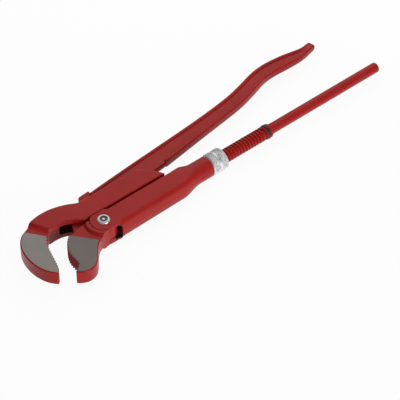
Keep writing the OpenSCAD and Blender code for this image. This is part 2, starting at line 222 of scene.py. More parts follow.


# %% [markdown]
# The nut and the rivet are zinc plated: pale, slightly bluish, and brighter than the ground steel.
# The stop ring is blackened spring steel, and the hidden pins are left plain. A dark scale colour
# paints the shade deep inside the forgings. All four are clouded: one noise moves the colour
# between two shades and makes the lighter spots a little rougher.

# %% Plated, plain and blackened steel, and a scale colour for painted shade
def clouded(name, shades, rough, scale, detail, **constants):
    """Shades are two colours; rough is the least roughness and how much the cloud adds to it."""
    steel = Finish(name, **constants)
    cloud = steel.noise(steel.place(), scale, detail).between(0.3, 0.7)
    steel.feed("Base Color", steel.blend(cloud, *shades))
    steel.feed("Roughness", cloud * rough[1] + rough[0])
    return steel.material


RED = red_paint()
ZINC = clouded("bright_zinc", ((0.72, 0.725, 0.73), (0.88, 0.885, 0.89)), (0.27, 0.1), 0.5, 3.0,
               Metallic=0.6)
STEEL = clouded("plain_steel", ((0.34, 0.33, 0.31), (0.44, 0.43, 0.41)), (0.36, 0.1), 0.8, 2.0,
                Metallic=0.8)
BLACK = clouded("black_oxide", ((0.018, 0.012, 0.012), (0.04, 0.028, 0.026)), (0.4, 0.1), 0.8, 2.0,
                Metallic=0.2)
# A dark scale colour that paints the shade inside the window, on the tongue and in the sleeve's
# notch
PAINTED_SHADE = clouded("scale_painted_shade", ((0.022, 0.010, 0.008), (0.045, 0.020, 0.016)), (0.6, 0.2),
                0.4, 3.0, Metallic=0.0, Specular_IOR_Level=0.2)
GROUND = ground_steel("ground_steel", (0.24, 0.222, 0.205), (0.33, 0.308, 0.285))
# A darker copy of the ground steel: painted shade on the movable jaw's flank and the rivet's dish
GROUND_SHADED = ground_steel("ground_steel_painted_shade", (0.165, 0.142, 0.132), (0.24, 0.21, 0.195))
print("finishes:", [m.name for m in (RED, GROUND, GROUND_SHADED, ZINC, STEEL, BLACK, PAINTED_SHADE)])

# %% [markdown]
# Most of this tool is drop forged, and a forging starts as an outline. Three helpers draw it: a
# smooth curve through a few points, saw teeth along a line, and a plate extruded from an outline.
# A fourth pulls a body through a row of cross-sections, which suits the beam and the sleeve.

# %% Outlines and the bodies made from them
def curve(points, steps=4):
    """A smooth curve through the points, each span drawn in a number of steps."""
    points = [Vector(p) for p in points]
    drawn = []
    for i, (b, c) in enumerate(zip(points, points[1:])):
        a, d = points[max(i - 1, 0)], points[min(i + 2, len(points) - 1)]
        for k in range(steps):
            t = k / steps
            drawn.append(0.5 * (2 * b + (c - a) * t + (2 * a - 5 * b + 4 * c - d) * t ** 2
                                + (3 * b - a - 3 * c + d) * t ** 3))
    return drawn + [points[-1]]


def toothed(line, pitch=3.3, depth=1.5):
    """Saw teeth along a line: their tips lie on it, their roots a tooth's depth to its left."""
    lengths = [0.0]
    for a, b in zip(line, line[1:]):
        lengths.append(lengths[-1] + (b - a).length)
    count = round(lengths[-1] / pitch)
    drawn = []
    for k in range(count):
        for share, deep in ((0.0, 0.0), (0.3, depth)):
            s = (k + share) * lengths[-1] / count
            i = max(j for j in range(len(line) - 1) if lengths[j] <= s + 1e-6)
            along = (line[i + 1] - line[i]).normalized()
            drawn.append(line[i] + along * (s - lengths[i]) + Vector((-along.y, along.x)) * deep)
    return drawn


def skin(rings):
    """A closed body pulled through rings of (x, y, z) points, one cross-section after another."""
    bm = bmesh.new()
    face = bm.faces.new([bm.verts.new(at(*p)) for p in rings[0]])
    for ring in rings[1:]:
        made = bmesh.ops.extrude_face_region(bm, geom=[face] + list(face.edges))["geom"]
        face = next(g for g in made if isinstance(g, bmesh.types.BMFace))
        for vert, p in zip(face.verts, ring):
            vert.co = at(*p)
    bmesh.ops.recalc_face_normals(bm, faces=bm.faces)
    return bm


def plate(outline, low, high):
    """An outline in the tool's plane, extruded from low to high."""
    return skin([[(x, y, z) for x, y in outline] for z in (low, high)])


def boxed(x0, x1, y0, y1, z0, z1):
    return plate([(x0, y0), (x1, y0), (x1, y1), (x0, y1)], z0, z1)


def disc(radius, half, segments=64, centre=(0, 0)):
    """A round plate about an axis that stands upright."""
    bm = bmesh.new()
    bmesh.ops.create_cone(bm, cap_ends=True, segments=segments, radius1=radius * MM,
                          radius2=radius * MM, depth=2 * half * MM,
                          matrix=Matrix.Translation(at(*centre)))
    return bm


# %% [markdown]
# Pieces are joined and cut with Boolean modifiers, and the forged roundings come from one Bevel
# modifier. A Bevel modifier can give each edge its own width, as a share of the widest, and where
# roundings meet it works out the corner once, inner and outer edges alike.

# %% Joining, cutting and rounding
def settled(bm, kind, **settings):
    """Puts one modifier on a bmesh and gives back the finished shape as a new bmesh."""
    mesh = bpy.data.meshes.new("blank")
    bm.to_mesh(mesh)
    bm.free()
    blank = bpy.data.objects.new("blank", mesh)
    bpy.context.collection.objects.link(blank)
    modifier = blank.modifiers.new("step", kind)
    for key, value in settings.items():
        setattr(modifier, key, value)
    made = bmesh.new()
    made.from_object(blank, bpy.context.evaluated_depsgraph_get())
    made.normal_update()
    bpy.data.objects.remove(blank)
    bpy.data.meshes.remove(mesh)
    return made


def combine(bm, tool, operation):
    """One Boolean. Faces of many corners are split first and slits closed after, so that neither
    the solver nor a later rounding stumbles over them."""
    mesh = bpy.data.meshes.new("tool")
    tool.to_mesh(mesh)
    tool.free()
    other = bpy.data.objects.new("tool", mesh)
    bpy.context.collection.objects.link(other)
    bmesh.ops.triangulate(bm, faces=[f for f in bm.faces if len(f.verts) > 4])
    made = settled(bm, "BOOLEAN", operation=operation, solver="EXACT", object=other)
    bpy.data.objects.remove(other)
    bpy.data.meshes.remove(mesh)
    bmesh.ops.remove_doubles(made, verts=made.verts, dist=0.002 * MM)
    bmesh.ops.dissolve_degenerate(made, edges=made.edges, dist=0.002 * MM)
    bmesh.ops.holes_fill(made, edges=[e for e in made.edges if e.is_boundary])
    return made


def cut(bm, *tools):
    for tool in tools:
        bm = combine(bm, tool, "DIFFERENCE")
    return bm


def weld(bm, *parts):
    for part in parts:
        bm = combine(bm, part, "UNION")
    return bm


ANYWHERE = (-999, 999)
NEAR = 0.03


def edge_at(z_low, z_high=None, x=ANYWHERE, y=ANYWHERE, turn=25):
    """Picks the edges that turn sharply and whose ends lie between two heights, above or below."""
    z_high = z_low if z_high is None else z_high

    def picked(edge):
        a, b = (mm(v.co) for v in edge.verts)
        middle = (a + b) / 2
        return (a.z * b.z > 0 and min(abs(a.z), abs(b.z)) > z_low - NEAR
                and max(abs(a.z), abs(b.z)) < z_high + NEAR
                and x[0] < middle.x < x[1] and y[0] < middle.y < y[1]
                and edge.is_manifold and edge.calc_face_angle(0) > math.radians(turn))
    return picked


def middle_of(edge):
    return mm((edge.verts[0].co + edge.verts[1].co) / 2)


def rounded(bm, *rules, segments=3):
    """Rounds edges: each rule is a picker and a width, or a function from the edge's middle to one.
    The first rule that picks an edge counts. Flat faces that a Boolean split are made whole first,
    because a rounding that ends on such a split leaves a sliver. Along a line that hardly turns the
    width stays the same: where two widths meet on it, their corner would lie far off."""
    bmesh.ops.dissolve_limit(bm, angle_limit=math.radians(0.03), verts=bm.verts, edges=bm.edges,
                             use_dissolve_boundaries=False, delimit={"MATERIAL"})
    bm.normal_update()
    layer = bm.edges.layers.float.new("bevel_weight_edge")
    widths = {}
    for edge in bm.edges:
        for picked, width in rules:
            if picked(edge):
                widths[edge] = width(middle_of(edge)) if callable(width) else width
                break
    widest = max(widths.values())
    for edge, width in widths.items():
        edge[layer] = width / widest
    return settled(bm, "BEVEL", limit_method="WEIGHT", width=widest * MM, segments=segments,
                   profile=0.5, use_clamp_overlap=False)


# %% [markdown]
# The round pieces are turned: a profile of (x, radius) points is spun about the spindle's axis.
# The rivet's profile is drawn in (radius, z) and spun about its own axis.

# %% Turned bodies
ALONG = (1, 0, 0)
UPRIGHT = (0, 0, 1)


def profile(bm, points):
    """A chain of edges from (x, z) pairs, in the upright plane through the spindle's axis."""
    verts = [bm.verts.new(at(x, 0, z)) for x, z in points]
    return verts, [bm.edges.new(pair) for pair in zip(verts, verts[1:])]


def turned(points, steps=64, axis=ALONG):
    """A body of revolution about the spindle's axis, or about the rivet's, which stands upright."""
    bm = bmesh.new()
    verts, edges = profile(bm, points)
    bmesh.ops.spin(bm, geom=verts + edges, cent=RIVET, axis=axis, angle=math.tau,
                   steps=steps, use_merge=True)
    bmesh.ops.remove_doubles(bm, verts=bm.verts, dist=0.001 * MM)
    bmesh.ops.recalc_face_normals(bm, faces=bm.faces)
    return bm


def joined(*parts):
    """Several bmeshes as one."""
    whole = bmesh.new()
    for part in parts:
        mesh = bpy.data.meshes.new("part")
        part.to_mesh(mesh)
        part.free()
        whole.from_mesh(mesh)
        bpy.data.meshes.remove(mesh)
    return whole


# %% [markdown]
# A piece that the CAD has right is taken over as it is. Its mesh is a soup of triangles, so a copy
# is welded and its flat faces are dissolved into whole ones. The other helper ends every piece: it
# gives the mesh its finishes and its body, and hides the CAD nodes it stands for. Sharp edges keep
# a hard shade, and so do wide level faces, which would otherwise pick up a false curve from the
# roundings round them.

# %% Take over a CAD piece, and finish any piece
LEVEL = 0.99999                 # a face's normal points straight up or down
WIDE_FACE = 15 * MM ** 2


def taken_over(node):
    bm = bmesh.new()
    bm.from_mesh(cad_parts[node].data)
    bmesh.ops.remove_doubles(bm, verts=bm.verts, dist=0.002 * MM)
    bmesh.ops.dissolve_limit(bm, angle_limit=math.radians(0.6), verts=bm.verts, edges=bm.edges,
                             delimit=set())
    bm.normal_update()
    return bm


def finished(name, bm, body, materials, replaces, smooth=38.0):
    """Turns a bmesh into a piece that rides on a CAD body and stands for the CAD nodes named."""
    bmesh.ops.remove_doubles(bm, verts=bm.verts, dist=0.001 * MM)
    bmesh.ops.dissolve_degenerate(bm, edges=bm.edges, dist=0.001 * MM)
    mesh = bpy.data.meshes.new(name)
    for edge in bm.edges:
        edge.smooth = not (edge.is_manifold and edge.calc_face_angle(0) > math.radians(smooth))
    for face in bm.faces:
        face.smooth = not (abs(face.normal.z) > LEVEL and face.calc_area() > WIDE_FACE)
    bm.to_mesh(mesh)
    bm.free()
    for material in materials:
        mesh.materials.append(material)
    piece = bpy.data.objects.new(name, mesh)
    bpy.context.collection.objects.link(piece)
    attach(piece, body)
    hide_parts(*replaces)
    # Flat faces keep their own normal, and only the roundings between them are shaded round
    piece.modifiers.new("flat_faces_stay_flat", "WEIGHTED_NORMAL").keep_sharp = True
    print(f"{name}: {len(mesh.polygons)} faces")


# %% [markdown]
# The long arm starts as one plate with the outline of hook, head and guide block, as thick as the
# head. Two cutters lower the hook to its ground flanks. Their side leans, so the step from the hook
# up to the head rises in two stages, gently first and then more steeply. Then one Bevel rounds all
# the forged edges, and the edges that a grinding wheel touches stay sharp.

# %% The long arm's outline
HALF_HEAD = 10.5                # half the thickness of the head and of the guide block
FLANK = 7.75                    # half the thickness of the hook and of the movable jaw
HEAD_UNDER = [(-46.5, 22.6), (-40, 23.3), (-34.7, 23), (-29.7, 21.9), (-24.7, 19.6), (-19.7, 16.4),
              (-15.7, 13.4), (-12, 11.6)]
BLOCK_REAR = [(76.3, 22.8), (72.8, 27.6), (69.4, 30.8), (65, 32.6), (60, 33)]
HEAD_BACK = [(-3.5, 33.6), (-6, 34.6), (-9.7, 36.7), (-14.7, 39.2), (-21.7, 41.8), (-29.7, 43.8),
             (-37.7, 44.5), (-45.7, 44.1), (-52, 42.9)]
HOOK_BACK = [(-59, 39), (-63.6, 37.2), (-68, 35.2), (-72.4, 31.6), (-77.3, 25), (-80.4, 17),
             (-81.8, 9), (-82.1, 2), (-81.4, -5.2), (-79.4, -12.4), (-76.3, -18.6), (-71.4, -24.6)]
GRIP_DOWN = [(-71.4, -24.6), (-67.8, -20.8), (-65.3, -15.4), (-63, -8.4), (-60.8, -1), (-58.8, 5.4)]
GRIP_UP = [(-58.8, 5.4), (-56.8, 11), (-53.8, 15.5), (-50.7, 18.4)]
arm_outline = (curve(HEAD_UNDER, 3) + [(60, 11.6), (82.4, 11.6), (80.4, 15.8), (78.4, 19.2)]
               + curve(BLOCK_REAR, 3) + curve(HEAD_BACK, 3) + [(-55.2, 41.5)]
               + curve(HOOK_BACK)[:-1] + toothed(curve(GRIP_DOWN)) + toothed(curve(GRIP_UP))
               + [(-50.7, 18.4), (-49.2, 20.6)])
print("points on the long arm's outline:", len(arm_outline))

# %% Hook, head and guide block in one plate
STEP_LINE = Vector((-58.7, 50)), Vector((-39.7, 12))    # the line that the step runs along
TOWARDS_HOOK = Vector((-0.894, -0.447))
STEP_RUN = 4.6                  # how far the step's foot lies from that line
STEP_SIDE = ((0.0, 1.0), (0.3, 0.5), (2.0, -0.7))       # shares of the step's rise and of its run
GRIP_END = 17.5                 # above it the inner rim is forged, below it the teeth are ground


def hook_grinder(side):
    """The space above (1) or below (-1) the hook, with the step's leaning side."""
    def ring(z, run):
        a, b = (p + TOWARDS_HOOK * run for p in STEP_LINE)
        return [(-100, -40, z * side), (b.x, -40, z * side), (b.x, b.y, z * side),
                (a.x, a.y, z * side), (-100, 60, z * side)]
    rise = HALF_HEAD - FLANK
    return skin([ring(FLANK + up * rise, out * STEP_RUN) for up, out in STEP_SIDE])


def behind_grip(middle):
    """Whether a place lies on the hook's outer side, left of a line from the tip past the teeth."""
    return middle.x < -71.6 + (middle.y + 24.4) * 0.287


def hook_rim(middle):
    """Rounds the hook's outer rim well and its inner rim a little, and leaves the teeth sharp."""
    if behind_grip(middle):
        return 1.2
    return 0.0 if middle.y < GRIP_END else 0.8


def arm_blank():
    bm = cut(plate(arm_outline, -HALF_HEAD, HALF_HEAD), hook_grinder(1), hook_grinder(-1))
    foot = STEP_LINE[0] + TOWARDS_HOOK * STEP_RUN

    def step_foot(edge):
        return edge_at(FLANK)(edge) and abs((middle_of(edge).xy - foot).dot(TOWARDS_HOOK)) < 0.1
    return rounded(bm, (step_foot, 1.6), (edge_at(FLANK, x=(-99, -46)), hook_rim),
                   (edge_at(HALF_HEAD, y=(24.5, 60)), 1.8),
                   (edge_at(HALF_HEAD, x=(60, 99), y=(12, 30)), 1.8),
                   (edge_at(FLANK, HALF_HEAD), 1.0), segments=4)


# %% [markdown]
# The handle is an I-beam in a long S-curve. Each station gives the lower and the upper edge point
# and the half heights of upper rim, web and lower rim; a curve through the stations makes them
# dense, and the body is pulled through them. The lower rim only starts behind the guide block.

# %% The I-beam handle
BEAM = [(16, 24, 15, 40.9, 5.6, 4.6, 4.6), (30, 24, 28, 42.3, 5.6, 4.6, 4.6),
        (66, 24, 64, 45.8, 5.4, 4.2, 4.2), (97, 26.9, 94, 48.8, 4.6, 2.9, 2.9),
        (98.6, 27.2, 95.6, 49, 4.6, 2.9, 4.5), (128, 31.6, 124.5, 51.5, 4.3, 2.6, 4.3),
        (158, 36.2, 155, 54.2, 4.3, 2.6, 4.3), (188, 40.5, 184.5, 57.7, 4.3, 2.6, 4.3),
        (210, 44.4, 205, 61, 4.3, 2.6, 4.3), (230, 50, 223, 65.6, 4.3, 2.6, 4.3),
        (248, 55.8, 243, 71.4, 4.3, 2.5, 4.3), (263, 57.6, 261, 73.8, 4.2, 2.4, 4.2),
        (280, 57, 282, 72.6, 4.1, 2.3, 4.1), (297, 56.8, 300, 69.5, 3.9, 2.4, 3.9),
        (308, 58.2, 307, 68.4, 3.8, 3.0, 3.8), (313, 59.4, 312, 68.7, 3.75, 3.7, 3.75),
        (320.6, 61.2, 318.8, 69.8, 3.6, 3.5, 3.6), (321.9, 61.9, 320.2, 69.6, 2.9, 2.8, 2.9)]
RIM = 3.2                       # how wide a rim is
RIM_SHARE = 0.26                # and how much of a narrow section it may take


def beam_section(station):
    """One cross-section: a rounded rim at each edge, with a fillet down to the web between them."""
    low, high = Vector(station[0:2]), Vector(station[2:4])
    wide = (high - low).length
    across = (high - low) / wide
    rim = min(RIM, wide * RIM_SHARE)

    def rim_points(top, web):
        drop = top - web
        return [(0.0, 0.0), (0.12, top - 2.0), (0.28, top - 1.15), (0.62, top - 0.5),
                (1.1, top - 0.12), (1.7, top), (rim - 0.5, top), (rim, top - 0.12 * drop),
                (rim + 0.4, top - 0.4 * drop), (rim + 0.7, web + 0.25 * drop),
                (rim + 1.15, web + 0.06 * drop), (rim + 1.8, web)]
    lower = rim_points(station[6], station[5])
    upper = [(wide - u, v) for u, v in reversed(rim_points(station[4], station[5]))]
    half = lower + upper
    ring = half + [(u, -v) for u, v in reversed(half[1:-1])]
    return [(low.x + across.x * u, low.y + across.y * u, v) for u, v in ring]


def beam():
    stations = [Vector(s) for s in BEAM]
    dense = stations[:4] + curve(stations[4:-2], 4) + stations[-2:]
    print("stations along the handle:", len(dense))
    return skin([beam_section(s) for s in dense])


# %% [markdown]
# The movable jaw's tongue slides in a window that runs through the head and the guide block. It has
# a groove in each side for the tongue's stubs, and it is open towards the back, where the tongue's
# end comes out. A small lug in the sleeve's channel carries the hidden hinge pin.

# %% Window, lug and the finished long arm
WINDOW = (-34.5, 62.0)
HALF_WINDOW = 5.4
PIN_X = (PIN_LOW.x + PIN_HIGH.x) / 2


def crosswise(edge):
    """Whether an edge runs across the tool, in y."""
    return abs((edge.verts[0].co - edge.verts[1].co).y) > 5 * MM


def window_cutters():
    mouth = rounded(boxed(*WINDOW, 6, 31.6, -HALF_WINDOW, HALF_WINDOW), (crosswise, 2.2))
    grooves = boxed(WINDOW[0] + 8.5, WINDOW[1], 22.1, 31, -7.5, 7.5)
    back = boxed(-13.5, 73, 30, 60, -3.6, 3.6)
    return mouth, grooves, back


def spindle_lug():
    half, radius = 3.3, 7.2
    lug = weld(disc(radius, half, 48, (PIN_X, 0)),
               plate([(PIN_X - radius, 0), (PIN_X + radius, 0), (PIN_X + radius, 7.7),
                      (PIN_X + 11.2, 13), (PIN_X - radius, 13)], -half, half))
    return cut(lug, disc(3.05, 5, 48, (PIN_X, 0)))


GRIND_LINE = Vector((-63.7, 36.0)), Vector((-50.9, 18.0))


def grind(bm, line, keep):
    """Cuts the mesh along a line across the flanks and bares the steel on the side of keep."""
    a, b = line
    side = Vector((b.y - a.y, a.x - b.x))
    if side.dot(Vector(keep) - a) < 0:
        side = -side

    def on_flank(face):
        height = abs(mm(face.calc_center_median()).z)
        return abs(height - FLANK) < 0.05 and abs(face.normal.z) > 0.99
    near = [f for f in bm.faces if on_flank(f)]
    edges = dict.fromkeys(e for f in near for e in f.edges)
    verts = dict.fromkeys(v for f in near for v in f.verts)
    bmesh.ops.bisect_plane(bm, geom=[*near, *edges, *verts], dist=0.001 * MM,
                           plane_co=at(a.x, a.y), plane_no=(side.x, side.y, 0),
                           clear_inner=False, clear_outer=False)
    bared = [f for f in bm.faces
             if on_flank(f) and side.dot(mm(f.calc_center_median()).xy - a) > 0]
    for face in bared:
        face.material_index = 1
    print("ground faces:", len(bared))


def paint_inner_shade(bm, x, y, half):
    """Paints the shade deep inside: within this box the window's sides and ends get the dark
    scale colour of a forging."""
    for face in bm.faces:
        middle = mm(face.calc_center_median())
        within = (y[0] < middle.y < y[1]
                  and all(x[0] < mm(v.co).x < x[1] and abs(mm(v.co).z) < half for v in face.verts))
        side = abs(abs(middle.z) - HALF_WINDOW) < 0.1
        end = abs(face.normal.x) > 0.5 or abs(face.normal.y) > 0.5
        if within and (side or end):
            face.material_index = 2


def long_arm():
    bm = weld(arm_blank(), beam(), spindle_lug())
    bm = cut(bm, *window_cutters())
    # Painted shade: the window's inner sides and ends get the dark scale colour
    paint_inner_shade(bm, (WINDOW[0] - 0.1, WINDOW[1] + 0.1), (12, 31.7), 7.6)
    grind(bm, GRIND_LINE, (-75, 5))
    finished("forged_long_arm", bm, "arm", (RED, GROUND, PAINTED_SHADE), ["long_arm"])


long_arm()

# %% [markdown]
# The movable jaw is a thinner plate with the same kind of teeth. A crescent collar as thick as the
# head half surrounds the sleeve's nose; it is the same section pulled along an arc about the rivet.
# Between the sleeve's cheeks the jaw goes on as an eye, and from the eye the tongue stands up.

# %% The movable jaw
JAW_GRIP = [(-36.4, 6.4), (-40, 3.2), (-43.6, -1.2), (-46.6, -6.6), (-48.6, -12.4), (-49.2, -18.6),
            (-49.6, -24.4), (-51.4, -28.4), (-57.2, -32.2)]
JAW_LOW = [(-58.1, -34.0), (-54.2, -37.2), (-48.4, -39.6), (-42.4, -39.5), (-36.6, -37),
           (-31.6, -32.2), (-26.8, -26.2), (-21.4, -20), (-16, -16.2), (-9.8, -13.8)]
NECK = [*JAW_LOW[-4:], (-4.6, -12.7), (0, -12.35), (3, -12.0)]     # the underside goes on as this
NOSE = 12.9                     # the radius of the sleeve's nose
HALF_EYE = 4.9                  # half the thickness of the eye and of the tongue's foot
JAW_GRIND_LINE = Vector((-33.4, 5.0)), Vector((-18.4, -14.5))


def jaw_plate():
    outline = (toothed(curve(JAW_GRIP)) + [(-57.2, -32.2)] + curve(JAW_LOW)
               + [(-9, -3), (-10.5, 6), (-14, 9.2), (-20, 8.9), (-27, 8), (-33.4, 5.9)])

    def width(middle):
        """The upper rim is rounded a little, the underside well, and the teeth not at all."""
        if middle.y > 5.9:
            return 0.6
        return 1.3 if middle.y < -32.9 or (middle.x > -44 and middle.y < -12) else 0.0
    return rounded(plate(outline, -FLANK, FLANK), (edge_at(FLANK), width), segments=4)


COLLAR_FROM, COLLAR_TO = 148, 262                       # degrees about the rivet
COLLAR_STEPS = 24
COLLAR_RIM = [(13.3, 0), (13.3, 10.0), (13.6, 10.35), (14.1, 10.5)]
COLLAR_SLOPE = [(16.3, 10.5), (17.0, 10.4), (17.5, 10.1), (18.1, 9.4), (18.9, 8.2), (19.7, 7.2),
                (20.2, 6.4), (20.2, 0)]


def collar():
    """The crescent round the sleeve's nose: a rim with a slope that falls to the flank, narrower
    at its upper end. Its lower end is cut off flush with the wall that runs from the jaw's
    underside into the neck."""
    rings = []
    for k in range(COLLAR_STEPS + 1):
        share = k / COLLAR_STEPS
        full = min(1, 5 * (share + 0.12))
        half = COLLAR_RIM + [(14.1 + (r - 14.1) * full, z) for r, z in COLLAR_SLOPE]
        section = half + [(r, -z) for r, z in reversed(half[1:-1])]
        angle = math.radians(COLLAR_FROM + (COLLAR_TO - COLLAR_FROM) * share)
        rings.append([(r * math.cos(angle), r * math.sin(angle), z) for r, z in section])
    below = [(x, y - 0.06) for x, y in curve(NECK, 3)] + [(3, -40), (-26.8, -40)]
    return cut(skin(rings), plate(below, -20, 20))


def tongue():
    """Its thick foot, its thin end and the pin whose two stubs run in the window's grooves."""
    front = curve([(-26, 6), (-26.2, 11), (-24.8, 15), (-22.3, 20), (-20.4, 24), (-18.6, 28),
                   (-17, 29.8)], 3)
    back = [(-10, -2), (-8, 8), (-7.6, 20), (-6, 26), (-3.6, 29.6), (-6, 29.8)]
    thick = plate(back + front[::-1], -HALF_EYE, HALF_EYE)
    half = 3.15
    thin = plate([(-8, 20), (-3.4, 27.2), (6, 29.6), (15.2, 36.6), (16.9, 44), (16.1, 45),
                  (4.9, 44.2), (3.2, 43), (-1, 34.6), (-9, 30.2), (-18, 30.2), (-20.4, 24)],
                 -half, half)
    thin = rounded(thin, (edge_at(half, y=(36, 50)), 0.7), segments=2)
    return thick, thin, disc(3, 7.3, 32, (-15.5, 26))


def movable_jaw():
    bm = cut(weld(jaw_plate(), collar()), disc(NOSE + 0.35, 12, 96))
    neck = [(x, y + 0.04) for x, y in curve(NECK[2:-1], 3)]
    eye = plate([(-20, 6), (-16, -12)] + neck + [(0, 0), (-2, 11), (-10, 10)], -HALF_EYE, HALF_EYE)
    lower_eye = cut(disc(12.3, HALF_EYE, 96), boxed(-20, 20, 0, 20, -9, 9))
    bm = weld(bm, disc(11, HALF_EYE, 96), lower_eye, eye, *tongue())
    bm = cut(bm, disc(4.05, 12, 48))
    # Painted shade: the tongue's faces inside the window get the dark scale colour
    paint_inner_shade(bm, (-27, 0), (12.5, 31.5), 5)
    # The jaw's bared flank takes the darker copy of the ground steel, which paints shade on it
    grind(bm, JAW_GRIND_LINE, (-50, -20))
    finished("forged_movable_jaw", bm, "jaw", (RED, GROUND_SHADED, PAINTED_SHADE),
             ["movable_jaw"])


movable_jaw()

# %% [markdown]
# The sleeve is pulled through sections along the spindle: flat sides with big lower corners, then a
# taper to the round rear end. Its side view, with the round nose and the long straight upper edge,
# is then cut out of that body, and the fork, the channel and the bores are cut from inside.

# %% The sleeve
SIDE = 10.5                     # half the sleeve's thickness


def sleeve_section(x, corner, down, blend, radius):
    """One section: blend 0 is the square body, with its lower corners rounded and its underside
    at -down, and blend 1 the round rear end. Each point is (y, z) of the square body and the
    angle where it lies on the round one."""
    half = [(13, 0, 0), (13, 0.3 * SIDE, 12), (13, 0.55 * SIDE, 24), (13, 0.8 * SIDE, 36),
            (13, SIDE, 48), (9, SIDE, 61), (5, SIDE, 74), (0, SIDE, 86), (-5, SIDE, 98)]
    for k in range(9):
        a = math.radians(90 * k / 8)
        half.append((corner - down - corner * math.sin(a), SIDE - corner + corner * math.cos(a),
                     108 + 60 * k / 8))
    half.append((-down - 0.2, 0.5, 177))
    half.append((-down - 0.35, 0, 180))
    ring = half + [(y, -z, -angle) for y, z, angle in reversed(half[1:-1])]
    return [(x, y * (1 - blend) + radius * math.cos(math.radians(angle)) * blend,
             z * (1 - blend) + radius * math.sin(math.radians(angle)) * blend)
            for y, z, angle in ring]


def sleeve_body():
    down, rear = 15.2, 13.8
    sections = [(-16, 0.6, down, 0, 10.6), (4, 0.6, down, 0, 10.6), (8, 3.0, down, 0, 10.6),
                (11, 5.2, down, 0, 10.6), (14, 6.0, down, 0, 10.6), (86, 6.0, rear, 0, 10.6)]
    for k in range(1, 10):
        u = k / 10
        sections.append((86 + 24 * u, 6.0, rear, u * u * (3 - 2 * u), 10.7))
    sections += [(110, 6.0, rear, 1, 10.7), (125.5, 6.0, rear, 1, 10.7),
                 (126.2, 6.0, rear, 1, 10.1)]
    body = skin([sleeve_section(*s) for s in sections])
    nose = [(NOSE * math.cos(a), min(NOSE * math.sin(a), 11.0))
            for a in (math.radians(90 + 180 * k / 40) for k in range(41))]
    side_view = nose + [(7.6, -12.9), (9.0, -13.9), (9.4, -20), (130, -20), (130, 14), (108, 14),
                        (103, 10.0), (86, 8.5), (11.6, 8.5), (7.8, 11.0)]
    return combine(body, plate(side_view, -20, 20), "INTERSECT")


def pipe(x0, x1, radius):
    return turned([(x0, 0), (x0, radius), (x1, radius), (x1, 0)])


NOTCH = (3.4, 10.4, -25, -8.6, -8.2, 8.2)       # the small opening in the underside by the nose
HALF_FORK = 5.1                                 # half the fork's gap, where the jaw's eye sits


def in_notch(place):
    """Whether a place lies in the notch or on its walls."""
    slack = 0.2
    return (NOTCH[0] - slack < place.x < NOTCH[1] + slack and place.y < NOTCH[3] + slack
            and abs(place.z) < NOTCH[5] + slack / 2)


def sleeve():
    notch = rounded(boxed(*NOTCH), (lambda e: crosswise(e) and mm(e.verts[0].co).x > 6, 2.8))
    bm = cut(sleeve_body(), boxed(-30, 9.6, -30, 30, -HALF_FORK, HALF_FORK),
             boxed(-30, 30, -11.8, 30, -HALF_FORK, HALF_FORK), boxed(15, 95, -10.4, 30, -7.4, 7.4),
             pipe(94, 127, 7.2), pipe(118.3, 127, 8.9), notch, disc(4.0, 12, 48))

    def outer_edge(edge):
        """The body's corners, but not the rivet's bore."""
        return (edge_at(9.6, SIDE, x=(-14, 102), turn=35)(edge)
                and mm(edge.verts[0].co).xy.length > 6)
    bm = rounded(bm, (outer_edge, 0.7))
    # Painted shade: the faces of the notch get the dark scale colour
    for face in bm.faces:
        if all(in_notch(mm(v.co)) for v in face.verts):
            face.material_index = 1
    finished("forked_sleeve", bm, "slider", (RED, PAINTED_SHADE), ["sleeve"])


sleeve()

# %% [markdown]
# The thread is trapezoidal. One turn of its profile is spun round the axis while it moves along
# it, which draws the whole helix in one operation; the turns are then welded to each other.

# %% The threaded handle
PITCH = 3.6
CREST = 7.0                     # the thread's outer radius
ROOT = 5.5                      # its radius at the bottom of the grooves
THREAD_START = 82.0
HANDLE = 5.35                   # the radius of the plain round handle


def helix(start, end, steps=40):
    """Whole turns of the thread from start to about end, as one ridge closed at both ends."""
    bm = bmesh.new()
    turns = round((end - start) / PITCH)
    points = [(start, ROOT), (start + 0.16 * PITCH, ROOT), (start + 0.36 * PITCH, CREST - 0.15),
              (start + 0.41 * PITCH, CREST), (start + 0.75 * PITCH, CREST),
              (start + 0.80 * PITCH, CREST - 0.15), (start + PITCH, ROOT)]
    verts, edges = profile(bm, points)
    bmesh.ops.spin(bm, geom=verts + edges, cent=RIVET, axis=(1, 0, 0), angle=math.tau * turns,
                   dvec=(PITCH * MM / steps, 0, 0), steps=steps * turns, use_merge=False)
    bmesh.ops.remove_doubles(bm, verts=bm.verts, dist=0.005 * MM)
    bmesh.ops.holes_fill(bm, edges=[e for e in bm.edges if e.is_boundary])
    bmesh.ops.recalc_face_normals(bm, faces=bm.faces)
    return bm


